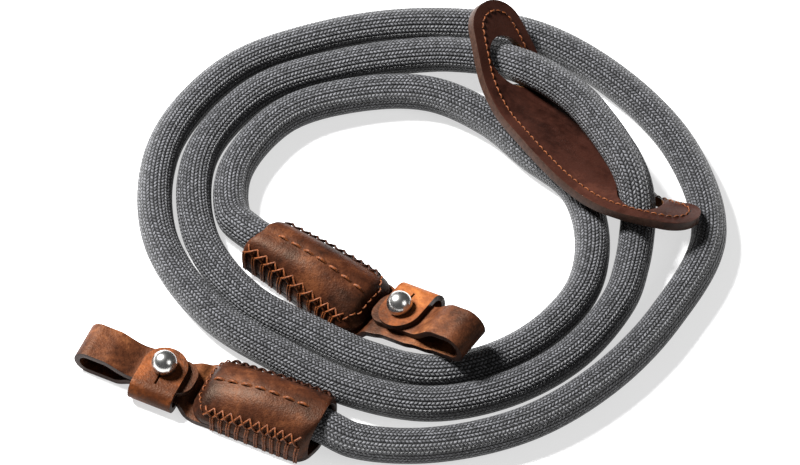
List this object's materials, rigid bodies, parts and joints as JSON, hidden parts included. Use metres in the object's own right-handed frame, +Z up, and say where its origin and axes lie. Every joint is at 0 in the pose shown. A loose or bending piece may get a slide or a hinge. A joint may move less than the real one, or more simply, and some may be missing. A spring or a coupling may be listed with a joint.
{
  "type": "coiled camera strap",
  "caption": "Round rope camera strap with stitched leather ends that button into loops, and a leaf-shaped leather neck pad, lying in a coil.",
  "frame": {"origin": "centre of the coil's bounding box, on the surface that it lies on", "axes": "+Z up from the surface, +X along the coil's longest reach, away from the front end, +Y away from the viewer"},
  "size_m": [0.1822, 0.1541, 0.0234],
  "materials": {
    "rope": "braided sheath, grey",
    "strap_leather": "pull-up, waxed, worn",
    "keeper_leather": "pull-up, waxed, worn",
    "pad_leather": "smooth, waxed",
    "stud_metal": "polished nickel"
  },
  "bodies": {
    "root": {"rope": "rope", "neck_pad": "pad_leather", "front_end_strap": "strap_leather", "front_keeper_tab": "keeper_leather", "front_stud": "stud_metal", "front_housing": "strap_leather", "second_end_strap": "strap_leather", "second_keeper_tab": "keeper_leather", "second_stud": "stud_metal", "second_housing": "strap_leather"}
  },
  "joints": []
}
